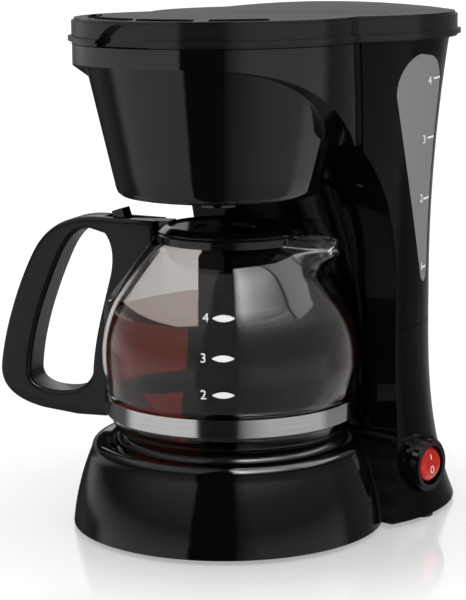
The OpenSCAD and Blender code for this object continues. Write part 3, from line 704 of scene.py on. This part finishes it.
FLOOR_HALF, FLOOR_Z = 12, -.0002    # metres
FLOOR_WHITE = .55                   # share that catches the object's shade, and share that glows
FLOOR_SHINE, SHINE_FROM, SHINE_TO = .36, .07, .19   # gloss under the object, metres where it fades
floor_mat = bpy.data.materials.new("floor_white")
floor_mat.use_nodes = True


def build_floor(nt):
    """White sheet, a little glossy close to the object only."""
    nt.nodes.clear()
    new, link = nt.nodes.new, nt.links.new
    out = new("ShaderNodeOutputMaterial")
    mix, add = new("ShaderNodeMixShader"), new("ShaderNodeAddShader")
    dif, emi, glo = new("ShaderNodeBsdfDiffuse"), new("ShaderNodeEmission"), new("ShaderNodeBsdfGlossy")
    dif.inputs["Color"].default_value = (FLOOR_WHITE, FLOOR_WHITE, FLOOR_WHITE, 1)
    emi.inputs["Color"].default_value = (1, 1, 1, 1)
    emi.inputs["Strength"].default_value = FLOOR_WHITE
    glo.inputs["Roughness"].default_value = .1
    tc, dist = new("ShaderNodeTexCoord"), new("ShaderNodeVectorMath")
    dist.operation = "DISTANCE"
    dist.inputs[1].default_value = (AXIS.x, AXIS.y + .02, 0)
    near = new("ShaderNodeMapRange")
    near.interpolation_type = "SMOOTHSTEP"
    near.inputs["From Min"].default_value = SHINE_FROM
    near.inputs["From Max"].default_value = SHINE_TO
    near.inputs["To Min"].default_value = FLOOR_SHINE
    near.inputs["To Max"].default_value = .0
    link(tc.outputs["Object"], dist.inputs[0])
    link(dist.outputs["Value"], near.inputs["Value"])
    link(near.outputs["Result"], mix.inputs["Fac"])
    link(dif.outputs["BSDF"], add.inputs[0])
    link(emi.outputs["Emission"], add.inputs[1])
    link(add.outputs["Shader"], mix.inputs[1])
    link(glo.outputs["BSDF"], mix.inputs[2])
    link(mix.outputs["Shader"], out.inputs["Surface"])


build_floor(floor_mat.node_tree)


def stage_mesh(name, verts, faces, mat):
    """Part of the stage, from points in metres."""
    me = bpy.data.meshes.new(name)
    me.from_pydata(verts, [], faces)
    me.materials.append(mat)
    o = in_scene(name, me)
    return o


corners = [(x * FLOOR_HALF, y * FLOOR_HALF, FLOOR_Z) for x, y in ((-1, -1), (1, -1), (1, 1), (-1, 1))]
floor = stage_mesh("floor", corners, [(0, 1, 2, 3)], floor_mat)
floor.visible_glossy = False

# ---------------------------------------------------------------- studio seen in reflections
# Directions are in degrees: turn from the camera, right positive, and rise above level.
# Each table below gives a value for a rise, with straight lines between its points.
DARK, DARK_TO = .012, 5             # gap between the two soft boxes, and the turn where it ends
GAP_FROM = [(-10, -31), (0, -28), (20, -26), (60, -24)]
RIGHT_BOX_FROM = [(-60, 60), (-30, 50), (-10, 30), (5, 20), (20, 15), (60, 14)]
LEFT_BOX = [(-60, .31), (-35, .38), (-20, .5), (-10, .8), (0, .45), (6, .2), (14, .3), (28, .6), (45, .8)]
RIGHT_BOX = [(-60, .25), (-35, .26), (-20, .4), (-10, .64), (0, .4), (6, .2), (20, .3), (26, .6),
             (30, 1.0), (36, 2.4), (42, 6), (51, 14), (55, 17), (62, 14), (90, 10)]
RIGHT_HIGH_BY_TURN = [(5, 1), (16, 1), (34, .62), (60, .45), (75, .28), (97, .14), (140, .1)]
RIGHT_WALL = [(-60, .4), (-35, .8), (-20, .5), (-10, .12), (10, .15), (25, .4), (60, .5)]
BACK_WALL = [(-60, .4), (-10, .25), (0, .15), (8, .2), (13, 1), (24, 1), (34, .4), (60, .5)]
TOP_LAMP = 4.0                      # bright panel high on the right
LAMP_FROM, LAMP_TO, LAMP_RISE = 70, 130, 30
GAP_SOFT = 1.5                      # softness of the gap's left edge
SIDE_FROM, SIDE_SOFT = 88, 10       # where the right wall starts
BACK_FROM, BACK_SOFT = 135, 20      # where the back wall starts, on either side


def lerp(points, x):
    """Straight-line table look-up."""
    if x <= points[0][0]:
        return points[0][1]
    for (x0, y0), (x1, y1) in zip(points, points[1:]):
        if x <= x1:
            return y0 + (y1 - y0) * (x - x0) / (x1 - x0)
    return points[-1][1]


def edge_fade(x, lo, hi, soft):
    """1 inside lo..hi, falling to 0 over the last stretch at either end."""
    return smooth((x - lo) / soft) * smooth((hi - x) / soft)


def studio(turn, rise):
    """Brightness of the studio in one direction."""
    if LAMP_FROM < turn < LAMP_TO and rise > LAMP_RISE:
        return TOP_LAMP * edge_fade(turn, LAMP_FROM, LAMP_TO, 6)
    gap_from, right_from = lerp(GAP_FROM, rise), lerp(RIGHT_BOX_FROM, rise)
    left, right, back = lerp(LEFT_BOX, rise), lerp(RIGHT_BOX, rise), lerp(BACK_WALL, rise)
    if rise > 40:
        right *= lerp(RIGHT_HIGH_BY_TURN, turn)
    if turn < gap_from - GAP_SOFT:
        v = left
    elif turn < gap_from:
        v = left + (DARK - left) * (turn - gap_from + GAP_SOFT) / GAP_SOFT
    elif turn < DARK_TO:
        v = DARK
    elif turn < right_from:
        v = DARK + (right - DARK) * ((turn - DARK_TO) / (right_from - DARK_TO)) ** .6
    elif turn < SIDE_FROM:
        v = right
    else:
        v = right + (lerp(RIGHT_WALL, rise) - right) * min(1, (turn - SIDE_FROM) / SIDE_SOFT)
    # Two darker areas far to the left, one above level and one below.
    if turn < -55 and 0 < rise < 40:
        v *= 1 - .7 * smooth((-55 - turn) / 60) * edge_fade(rise, 0, 40, 8)
    if turn < -80:
        low = edge_fade(rise, -34, -3, 4)
        v *= 1 - .85 * smooth((-100 - turn) / 16) * low
        back *= 1 - .85 * low
    if abs(turn) > BACK_FROM:
        v += (back - v) * min(1, (abs(turn) - BACK_FROM) / BACK_SOFT)
    return v


def dome():
    """The studio on a sphere far round the object, in metres, seen by glossy rays only."""
    rows, cols, radius, middle = 120, 240, 40.0, .12
    verts, faces, shade = [], [], []
    for i in range(rows + 1):
        e = math.radians(-90 + 180 * i / rows)
        for j in range(cols):
            t = math.radians(-180 + 360 * j / cols)
            a = CAM_A - math.pi / 2 + t
            verts.append((AXIS.x + radius * math.cos(e) * math.cos(a),
                          AXIS.y + radius * math.cos(e) * math.sin(a), middle + radius * math.sin(e)))
            shade.append(studio(math.degrees(t), math.degrees(e)))
    for i in range(rows):
        for j in range(cols):
            k = (j + 1) % cols
            faces.append((i * cols + j, i * cols + k, (i + 1) * cols + k, (i + 1) * cols + j))
    m = bpy.data.materials.new("studio_glow")
    m.use_nodes = True
    nt = m.node_tree
    nt.nodes.clear()
    out, glow = nt.nodes.new("ShaderNodeOutputMaterial"), nt.nodes.new("ShaderNodeAttribute")
    em = nt.nodes.new("ShaderNodeEmission")
    glow.attribute_name = "glow"
    nt.links.new(glow.outputs["Fac"], em.inputs["Strength"])
    nt.links.new(em.outputs["Emission"], out.inputs["Surface"])
    m.cycles.emission_sampling = "NONE"
    o = stage_mesh("studio_dome", verts, faces, m)
    att = o.data.attributes.new("glow", "FLOAT", "POINT")
    att.data.foreach_set("value", shade)
    o.visible_camera = o.visible_diffuse = o.visible_transmission = False
    o.visible_shadow = o.visible_volume_scatter = False


dome()

# ---------------------------------------------------------------- camera
CAM_D, CAM_H = 949.07, 276.76       # distance from the jug's axis, and height
CAM_TILT = math.radians(10.23)      # looking down
CAM_PAN, CAM_ROLL = -.001, -.0076   # radians
SENSOR = 36
FOCAL = 3.43283 * SENSOR            # focal length for the height of the picture


def build_camera():
    """Camera in front of the machine's right side, a little above it."""
    data = bpy.data.cameras.new("camera")
    data.sensor_fit, data.sensor_width = "AUTO", SENSOR
    data.lens = FOCAL
    data.clip_start, data.clip_end = .05, 40
    cam = in_scene("camera", data)
    cam.location = at(CAM_D * math.sin(CAM_A), -CAM_D * math.cos(CAM_A), CAM_H)
    aim = (Matrix.Rotation(CAM_A + CAM_PAN, 4, "Z") @ Matrix.Rotation(math.pi / 2 - CAM_TILT, 4, "X")
           @ Matrix.Rotation(CAM_ROLL, 4, "Z"))
    cam.rotation_euler = aim.to_euler()
    bpy.context.scene.camera = cam


build_camera()
